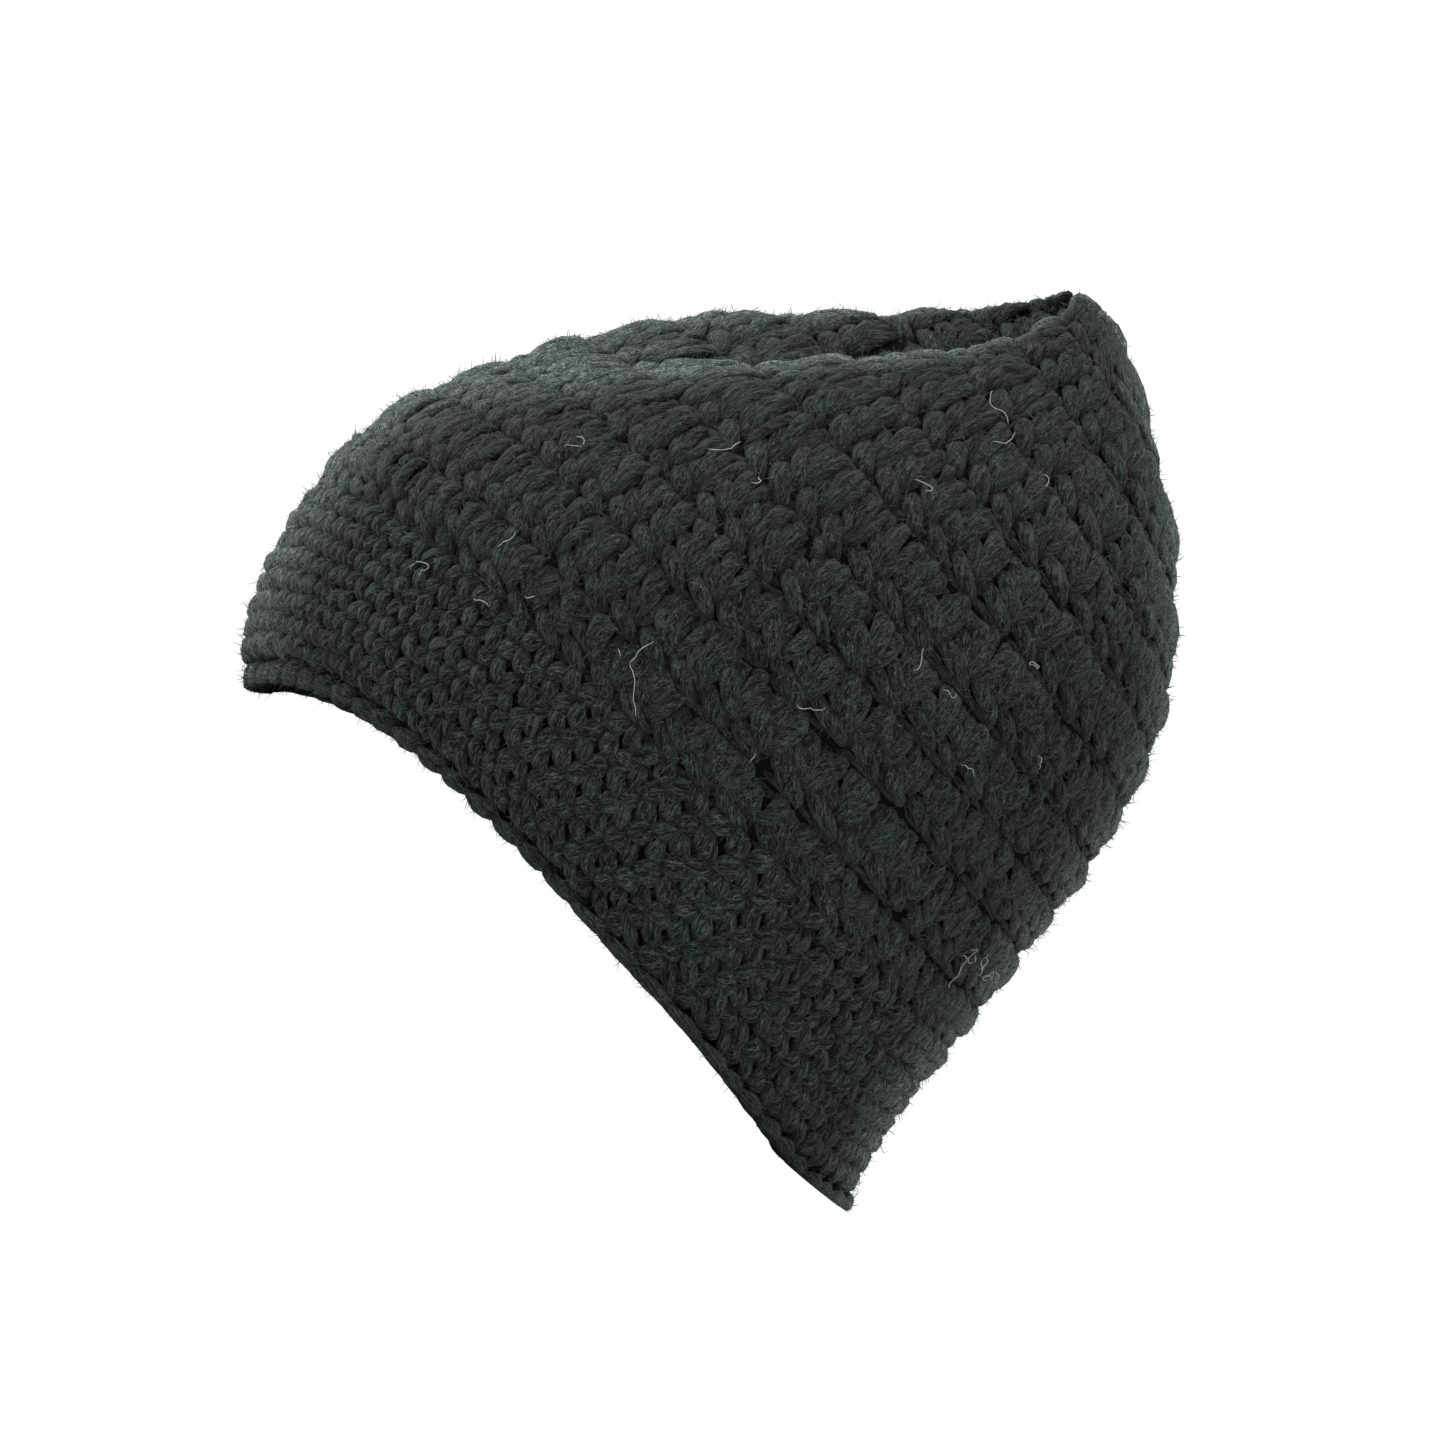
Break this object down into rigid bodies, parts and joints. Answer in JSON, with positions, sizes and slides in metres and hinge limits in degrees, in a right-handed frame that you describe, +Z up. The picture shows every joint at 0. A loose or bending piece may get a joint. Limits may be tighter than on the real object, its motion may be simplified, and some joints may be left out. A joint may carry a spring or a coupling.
{
  "type": "crocheted beanie",
  "caption": "Hand-crocheted beanie in thick yarn: banded brim, ribbed crown drawn to a point with a sunk-in front, chain-edged rim, open head cavity.",
  "frame": {"origin": "bottom centre of the hat's box, on the surface that the rim stands on", "axes": "+Z up to the point of the crown, -Y to the front of the hat, +X to the hat's left side, across its width"},
  "size_m": [0.165, 0.2106, 0.203],
  "materials": {
    "yarn": "fuzzy charcoal yarn, matte"
  },
  "bodies": {
    "root": {"edge_chain": "yarn", "brim": "yarn", "crown": "yarn"}
  },
  "joints": []
}
